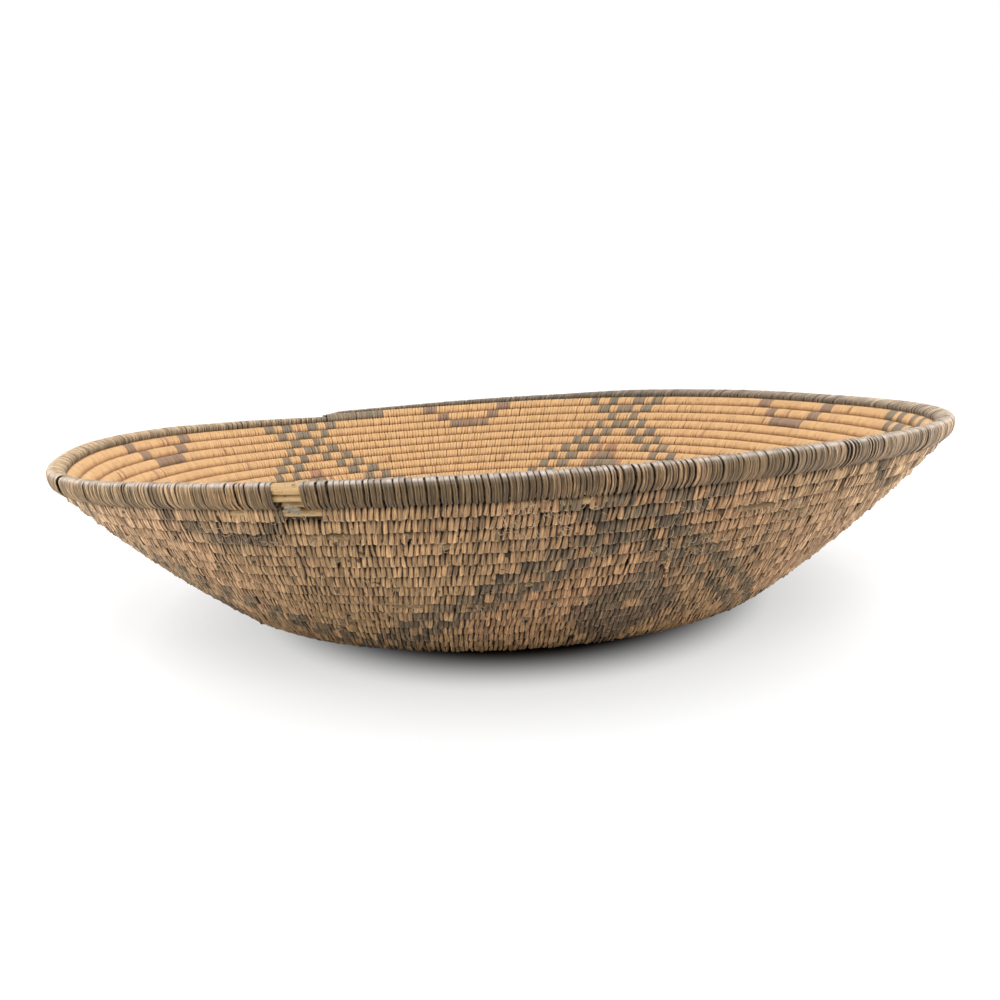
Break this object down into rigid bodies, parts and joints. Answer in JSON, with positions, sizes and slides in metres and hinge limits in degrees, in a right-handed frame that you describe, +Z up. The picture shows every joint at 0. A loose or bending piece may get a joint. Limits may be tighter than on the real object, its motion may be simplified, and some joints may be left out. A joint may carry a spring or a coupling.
{
  "type": "coiled basketry bowl",
  "caption": "Shallow round bowl of close-coiled basketry with a flat base, flaring walls and a thick wrapped rim, for holding or serving dry food.",
  "frame": {"origin": "on the ground under the middle of the start knot, where the bowl's worn flat base rests", "axes": "+Z up out of the bowl's mouth, -Y towards the front of the picture, +X to its right"},
  "size_m": [0.4386, 0.4394, 0.0879],
  "materials": {
    "coiled_splints": "matte",
    "rim_splints": "satin",
    "foundation_rods": "matte"
  },
  "bodies": {
    "root": {"start_knot": "rim_splints", "coil_turn_01": "coiled_splints", "coil_turn_02": "coiled_splints", "coil_turn_03": "coiled_splints", "coil_turn_04": "coiled_splints", "coil_turn_05": "coiled_splints", "coil_turn_06": "coiled_splints", "coil_turn_07": "coiled_splints", "coil_turn_08": "coiled_splints", "coil_turn_09": "coiled_splints", "coil_turn_10": "coiled_splints", "coil_turn_11": "coiled_splints", "coil_turn_12": "coiled_splints", "coil_turn_13": "coiled_splints", "coil_turn_14": "coiled_splints", "coil_turn_15": "coiled_splints", "coil_turn_16": "coiled_splints", "coil_turn_17": "coiled_splints", "coil_turn_18": "coiled_splints", "coil_turn_19": "coiled_splints", "coil_turn_20": "coiled_splints", "coil_turn_21": "coiled_splints", "coil_turn_22": "coiled_splints", "coil_turn_23": "coiled_splints", "coil_turn_24": "coiled_splints", "coil_turn_25": "coiled_splints", "coil_turn_26": "coiled_splints", "coil_turn_27": "coiled_splints", "coil_turn_28": "coiled_splints", "coil_turn_29": "coiled_splints", "coil_turn_30": "coiled_splints", "coil_turn_31": "coiled_splints", "coil_turn_32": "coiled_splints", "coil_turn_33": "coiled_splints", "coil_turn_34": "coiled_splints", "coil_turn_35": "coiled_splints", "rim_rod_top": "foundation_rods", "rim_rod_outer": "foundation_rods", "rim_rod_inner": "foundation_rods", "rim_wrap_left": "rim_splints", "rim_wrap_right": "rim_splints"}
  },
  "joints": []
}
